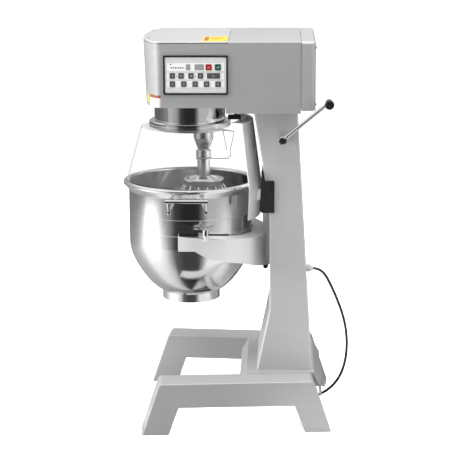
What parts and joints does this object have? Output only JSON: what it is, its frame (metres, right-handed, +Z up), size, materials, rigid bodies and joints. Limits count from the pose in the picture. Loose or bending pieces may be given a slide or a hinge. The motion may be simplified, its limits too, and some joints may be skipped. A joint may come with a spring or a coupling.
{
  "type": "commercial stand mixer",
  "caption": "Floor-standing planetary mixer with a crank-raised bowl, a whisk on a planetary head, a turning clear guard and a membrane keypad.",
  "frame": {"origin": "on the floor, under the middle of the whole outline", "axes": "+Z up, +X from the bowl to the column, -Y the side with the keypad and the crank"},
  "size_m": [0.6786, 0.6134, 1.135],
  "materials": {
    "base_paint": "satin silver enamel",
    "column_paint": "satin silver enamel",
    "head_paint": "satin silver enamel",
    "cover_paint": "satin silver enamel",
    "cap_paint": "satin grey enamel",
    "yoke_paint": "satin silver enamel",
    "bezel_black": "fine matt",
    "panel_overlay": "smooth printed film",
    "display_dark": "smoked window",
    "lamp_red": "clear tinted lens",
    "key_dark": "embossed film",
    "key_red": "embossed film",
    "key_green": "embossed film",
    "collar_chrome": "turned and plated",
    "ring_chrome": "turned and plated",
    "guard_sheet": "bright brushed sheet",
    "bracket_black": "fine matt",
    "screw_steel": "plated",
    "switch_black": "fine matt",
    "motor_paint": "grey enamel",
    "drive_iron": "primed casting",
    "bearing_steel": "ground",
    "belt_rubber": "cloth-faced rubber",
    "gland_nylon": "moulded nylon",
    "cord_black": "smooth jacket",
    "plug_black": "moulded",
    "pulley_steel": "turned",
    "gear_steel": "cut and oiled",
    "carrier_steel": "turned",
    "agitator_chrome": "plated",
    "whisk_aluminium": "cast and turned",
    "wire_stainless": "drawn wire",
    "clear_plastic": "clear polycarbonate",
    "carriage_iron": "machined",
    "bowl_stainless": "polished stainless",
    "handle_chrome": "polished stainless",
    "clamp_chrome": "plated",
    "crank_chrome": "plated",
    "knob_black": "moulded grip",
    "ground_steel": "ground rod"
  },
  "bodies": {
    "frame": {"near_base_beam": "base_paint", "far_base_beam": "base_paint", "base_cross_member": "base_paint", "column_body": "column_paint", "guide_rods": "ground_steel", "head_housing": "head_paint", "head_front_cover": "cover_paint", "head_rear_cap": "cap_paint", "control_bezel": "bezel_black", "control_plate": "panel_overlay", "display_windows": "display_dark", "indicator_lamps": "lamp_red", "neck_collar": "collar_chrome", "ring_gear": "gear_steel", "rear_guard": "guard_sheet", "guard_brackets": "bracket_black", "cover_screws": "screw_steel", "interlock_switch": "switch_black", "motor_body": "motor_paint", "drive_frame": "drive_iron", "shaft_bearings": "bearing_steel", "drive_belt": "belt_rubber", "cable_gland": "gland_nylon", "mains_cord": "cord_black", "cord_coil": "cord_black", "mains_plug": "plug_black"},
    "motor_rotor": {"motor_pulley": "pulley_steel"},
    "lay_shaft": {"lay_shaft": "gear_steel", "lay_shaft_pulley": "pulley_steel"},
    "carrier": {"planet_carrier": "carrier_steel", "main_gear": "gear_steel"},
    "agitator": {"agitator_shaft": "agitator_chrome", "whisk_head": "whisk_aluminium", "whisk_wires": "wire_stainless", "retaining_clip": "wire_stainless"},
    "guard": {"guard_ring": "ring_chrome", "clear_guard": "clear_plastic"},
    "lift": {"bowl_yoke": "yoke_paint", "lift_carriage": "carriage_iron", "bowl_shell": "bowl_stainless", "bowl_handles": "handle_chrome"},
    "near_clamp": {"near_bowl_clamp": "clamp_chrome"},
    "far_clamp": {"far_bowl_clamp": "clamp_chrome"},
    "crank": {"crank_shaft": "crank_chrome", "crank_lever": "crank_chrome"},
    "knob": {"crank_knob": "knob_black"},
    "pinion": {"lift_pinion": "gear_steel"},
    "key_light": {"key_light": "key_dark"},
    "key_slow": {"key_slow": "key_dark"},
    "key_medium": {"key_medium": "key_dark"},
    "key_fast": {"key_fast": "key_dark"},
    "key_reset": {"key_reset": "key_dark"},
    "key_speed_down": {"key_speed_down": "key_dark"},
    "key_speed_up": {"key_speed_up": "key_dark"},
    "key_time_down": {"key_time_down": "key_dark"},
    "key_time_up": {"key_time_up": "key_dark"},
    "key_mode": {"key_mode": "key_dark"},
    "key_stop": {"key_stop": "key_red"},
    "key_start": {"key_start": "key_green"}
  },
  "joints": [
    {"name": "bowl_lift", "type": "slide", "parent": "frame", "child": "lift", "axis": [0, 0, 1], "range_m": [-0.09, 0]},
    {"name": "crank_turn", "type": "hinge", "parent": "frame", "child": "crank", "pos_m": [0.16465, 0, 0.854], "axis": [0, 1, 0], "range_deg": [0, 143.3]},
    {"name": "pinion_turn", "type": "hinge", "parent": "frame", "child": "pinion", "pos_m": [0.1704, 0, 0.79428], "axis": [0, 1, 0], "range_deg": [-215, 0]},
    {"name": "knob_spin", "type": "hinge", "parent": "crank", "child": "knob", "pos_m": [0.29665, -0.236, 0.963], "axis": [0, 1, 0], "continuous": true},
    {"name": "carrier_spin", "type": "hinge", "parent": "frame", "child": "carrier", "pos_m": [-0.11035, 0, 0.9], "axis": [0, 0, 1], "continuous": true},
    {"name": "agitator_spin", "type": "hinge", "parent": "carrier", "child": "agitator", "pos_m": [-0.07035, 0, 0.9], "axis": [0, 0, 1], "continuous": true},
    {"name": "lay_shaft_spin", "type": "hinge", "parent": "frame", "child": "lay_shaft", "pos_m": [-0.02035, 0, 1.04], "axis": [0, 0, 1], "continuous": true},
    {"name": "motor_spin", "type": "hinge", "parent": "frame", "child": "motor_rotor", "pos_m": [0.14265, 0, 1.04], "axis": [0, 0, 1], "continuous": true},
    {"name": "guard_turn", "type": "hinge", "parent": "frame", "child": "guard", "pos_m": [-0.11035, 0, 0.875], "axis": [0, 0, -1], "range_deg": [0, 90]},
    {"name": "near_clamp_turn", "type": "hinge", "parent": "lift", "child": "near_clamp", "pos_m": [-0.05535, -0.222, 0.588], "axis": [0, 0, -1], "range_deg": [0, 90]},
    {"name": "far_clamp_turn", "type": "hinge", "parent": "lift", "child": "far_clamp", "pos_m": [-0.05535, 0.222, 0.588], "axis": [0, 0, 1], "range_deg": [0, 90]},
    {"name": "key_light_press", "type": "slide", "parent": "frame", "child": "key_light", "axis": [0, 1, 0], "range_m": [0, 0.0008], "stiffness_N_per_m": 600},
    {"name": "key_slow_press", "type": "slide", "parent": "frame", "child": "key_slow", "axis": [0, 1, 0], "range_m": [0, 0.0008], "stiffness_N_per_m": 600},
    {"name": "key_medium_press", "type": "slide", "parent": "frame", "child": "key_medium", "axis": [0, 1, 0], "range_m": [0, 0.0008], "stiffness_N_per_m": 600},
    {"name": "key_fast_press", "type": "slide", "parent": "frame", "child": "key_fast", "axis": [0, 1, 0], "range_m": [0, 0.0008], "stiffness_N_per_m": 600},
    {"name": "key_reset_press", "type": "slide", "parent": "frame", "child": "key_reset", "axis": [0, 1, 0], "range_m": [0, 0.0008], "stiffness_N_per_m": 600},
    {"name": "key_speed_down_press", "type": "slide", "parent": "frame", "child": "key_speed_down", "axis": [0, 1, 0], "range_m": [0, 0.0008], "stiffness_N_per_m": 600},
    {"name": "key_speed_up_press", "type": "slide", "parent": "frame", "child": "key_speed_up", "axis": [0, 1, 0], "range_m": [0, 0.0008], "stiffness_N_per_m": 600},
    {"name": "key_time_down_press", "type": "slide", "parent": "frame", "child": "key_time_down", "axis": [0, 1, 0], "range_m": [0, 0.0008], "stiffness_N_per_m": 600},
    {"name": "key_time_up_press", "type": "slide", "parent": "frame", "child": "key_time_up", "axis": [0, 1, 0], "range_m": [0, 0.0008], "stiffness_N_per_m": 600},
    {"name": "key_mode_press", "type": "slide", "parent": "frame", "child": "key_mode", "axis": [0, 1, 0], "range_m": [0, 0.0008], "stiffness_N_per_m": 600},
    {"name": "key_stop_press", "type": "slide", "parent": "frame", "child": "key_stop", "axis": [0, 1, 0], "range_m": [0, 0.0008], "stiffness_N_per_m": 600},
    {"name": "key_start_press", "type": "slide", "parent": "frame", "child": "key_start", "axis": [0, 1, 0], "range_m": [0, 0.0008], "stiffness_N_per_m": 600}
  ],
  "couplings": [
    {"joint": "crank_turn", "follows": "bowl_lift", "rad_per_m": -27.778},
    {"joint": "pinion_turn", "follows": "bowl_lift", "rad_per_m": 41.667},
    {"joint": "agitator_spin", "follows": "carrier_spin", "ratio": -3},
    {"joint": "lay_shaft_spin", "follows": "carrier_spin", "ratio": -4},
    {"joint": "motor_spin", "follows": "carrier_spin", "ratio": -9.6667}
  ]
}
